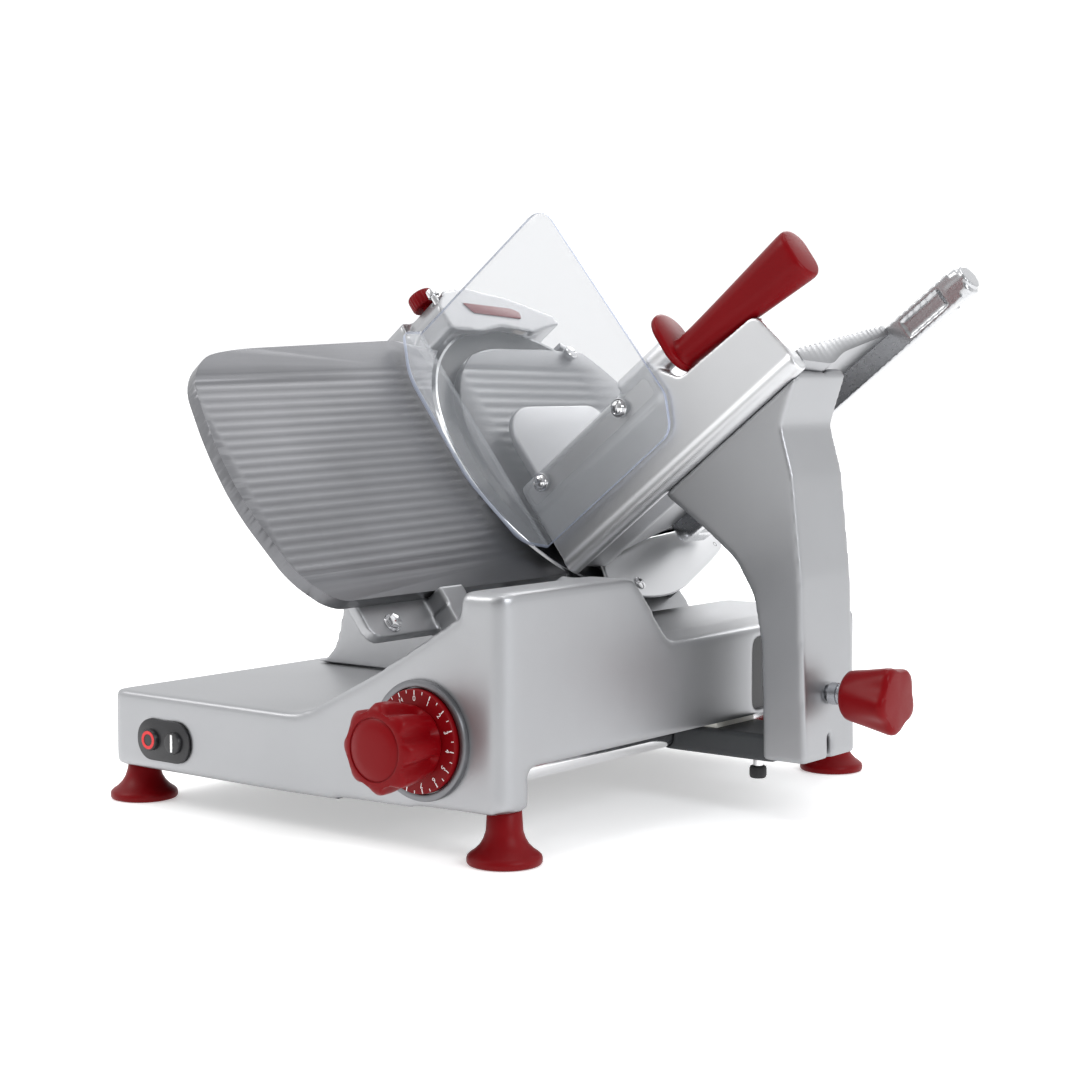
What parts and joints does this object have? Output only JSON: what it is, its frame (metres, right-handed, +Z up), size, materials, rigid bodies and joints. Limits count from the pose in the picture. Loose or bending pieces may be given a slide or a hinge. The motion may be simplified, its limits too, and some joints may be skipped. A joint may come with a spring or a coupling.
{
  "type": "deli meat slicer",
  "caption": "Gravity-feed deli slicer with an inclined round blade behind a ribbed gauge plate, a sliding carriage on a curved arm, a clear finger guard, a meat press and red grips",
  "frame": {"origin": "middle of the whole machine's footprint, on the plane the four feet stand on", "axes": "+X from the receiving deck towards the carriage side, +Y from the dial side to the back of the machine, +Z up"},
  "size_m": [0.5832, 0.598, 0.4915],
  "materials": {
    "cast": "satin cast and anodised aluminium",
    "polished": "polished",
    "steel": "turned steel",
    "blade_steel": "ground and polished blade steel",
    "red_plastic": "moulded red plastic",
    "black_plastic": "matt black plastic",
    "white_plastic": "moulded white plastic",
    "rubber": "black rubber",
    "dark_metal": "dark painted cast metal",
    "brass": "turned bronze",
    "clear": "clear acrylic sheet",
    "stone": "bonded abrasive",
    "nylon": "off-white nylon"
  },
  "bodies": {
    "base": {"base_casting": "cast", "blade_pedestal": "cast", "bottom_cover": "dark_metal", "side_panel": "black_plastic", "foot_front_left": "red_plastic", "foot_front_right": "red_plastic", "foot_rear_left": "red_plastic", "foot_rear_right": "red_plastic", "foot_studs": "steel", "dial_bezel": "polished", "switch_plate": "black_plastic", "switch_block": "black_plastic", "control_box": "black_plastic", "cord_gland": "black_plastic", "gauge_shaft_rod": "polished", "hub_bearings": "steel", "drive_belt": "rubber", "motor": "dark_metal", "ring_guard": "cast", "blade_cover": "steel", "lower_cover": "polished", "cover_tie_rod": "steel", "sharpener_body": "cast", "sharpener_badge": "red_plastic", "sharpening_stones": "stone", "guide_rod": "polished", "support_rail": "polished"},
    "stop_key": {"stop_button": "red_plastic"},
    "start_key": {"start_button": "white_plastic"},
    "gauge": {"gauge_plate": "cast", "gauge_bracket": "cast", "gauge_bolts": "steel", "follower_pin": "steel"},
    "dial": {"thickness_dial": "red_plastic", "thickness_knob": "red_plastic", "dial_shaft": "steel", "index_cam": "brass"},
    "blade_assembly": {"blade": "blade_steel", "blade_hub": "steel", "blade_pulley": "steel", "blade_screws": "steel"},
    "motor_rotor": {"motor_pulley": "steel"},
    "cover_release": {"tie_rod_knob": "red_plastic"},
    "cover_screw": {"cover_thumbscrew": "polished"},
    "sharpener_lock": {"sharpener_knob": "red_plastic"},
    "sharpener_key": {"sharpener_button": "polished"},
    "carriage_slider": {"slide_block": "dark_metal", "glide_pad": "nylon", "link_bumper": "rubber"},
    "carriage": {"carriage_floor": "cast", "carriage_fence": "cast", "carriage_arm": "cast", "finger_guard": "clear", "guard_screws": "steel", "carriage_handle": "red_plastic", "press_rod_bar": "polished", "press_rail": "polished"},
    "carriage_lock": {"lock_knob": "red_plastic"},
    "press_carrier": {"press_hub": "polished"},
    "press": {"press_plate": "cast"}
  },
  "joints": [
    {"name": "carriage_slide", "type": "slide", "parent": "base", "child": "carriage_slider", "axis": [0, 1, 0], "range_m": [-0.22, 0.04]},
    {"name": "carriage_lift", "type": "slide", "parent": "carriage_slider", "child": "carriage", "axis": [0, 0, 1], "range_m": [0, 0.1]},
    {"name": "lock_knob_turn", "type": "hinge", "parent": "carriage", "child": "carriage_lock", "pos_m": [0.232, 0.07, 0.1], "axis": [1, 0, 0], "continuous": true},
    {"name": "press_slide", "type": "slide", "parent": "carriage", "child": "press_carrier", "axis": [0.788, 0, 0.6157], "range_m": [0, 0.12]},
    {"name": "press_swing", "type": "hinge", "parent": "press_carrier", "child": "press", "pos_m": [0.0385, 0.238, 0.25748], "axis": [-0.788, 0, -0.6157], "range_deg": [0, 95]},
    {"name": "gauge_slide", "type": "slide", "parent": "base", "child": "gauge", "axis": [-0.788, 0, -0.6157], "range_m": [0, 0.014]},
    {"name": "dial_turn", "type": "hinge", "parent": "base", "child": "dial", "pos_m": [0.071, -0.245, 0.088], "axis": [0, -1, 0], "range_deg": [0, 336]},
    {"name": "blade_spin", "type": "hinge", "parent": "base", "child": "blade_assembly", "pos_m": [-0.09056, 0.14, 0.27974], "axis": [0.788, 0, 0.6157], "continuous": true},
    {"name": "motor_spin", "type": "hinge", "parent": "base", "child": "motor_rotor", "pos_m": [-0.03589, 0.14, 0.1448], "axis": [0.788, 0, 0.6157], "continuous": true},
    {"name": "cover_release_turn", "type": "hinge", "parent": "base", "child": "cover_release", "pos_m": [-0.17251, 0.14, 0.21572], "axis": [0.788, 0, 0.6157], "continuous": true},
    {"name": "cover_screw_turn", "type": "hinge", "parent": "base", "child": "cover_screw", "pos_m": [-0.15225, 0.223, 0.37495], "axis": [0.788, 0, 0.6157], "continuous": true},
    {"name": "sharpener_lock_turn", "type": "hinge", "parent": "base", "child": "sharpener_lock", "pos_m": [-0.22014, 0.091, 0.41962], "axis": [-0.6157, 0, 0.788], "continuous": true},
    {"name": "sharpener_press", "type": "slide", "parent": "base", "child": "sharpener_key", "axis": [0.6157, 0, -0.788], "range_m": [0, 0.005], "stiffness_N_per_m": 600, "springref_m": -0.002},
    {"name": "stop_press", "type": "slide", "parent": "base", "child": "stop_key", "axis": [0, 1, 0], "range_m": [0, 0.0025], "stiffness_N_per_m": 600, "springref_m": -0.001},
    {"name": "start_press", "type": "slide", "parent": "base", "child": "start_key", "axis": [0, 1, 0], "range_m": [0, 0.0025], "stiffness_N_per_m": 600, "springref_m": -0.001}
  ],
  "couplings": [
    {"joint": "dial_turn", "follows": "gauge_slide", "rad_per_m": 418.88},
    {"joint": "motor_spin", "follows": "blade_spin", "ratio": 3}
  ]
}
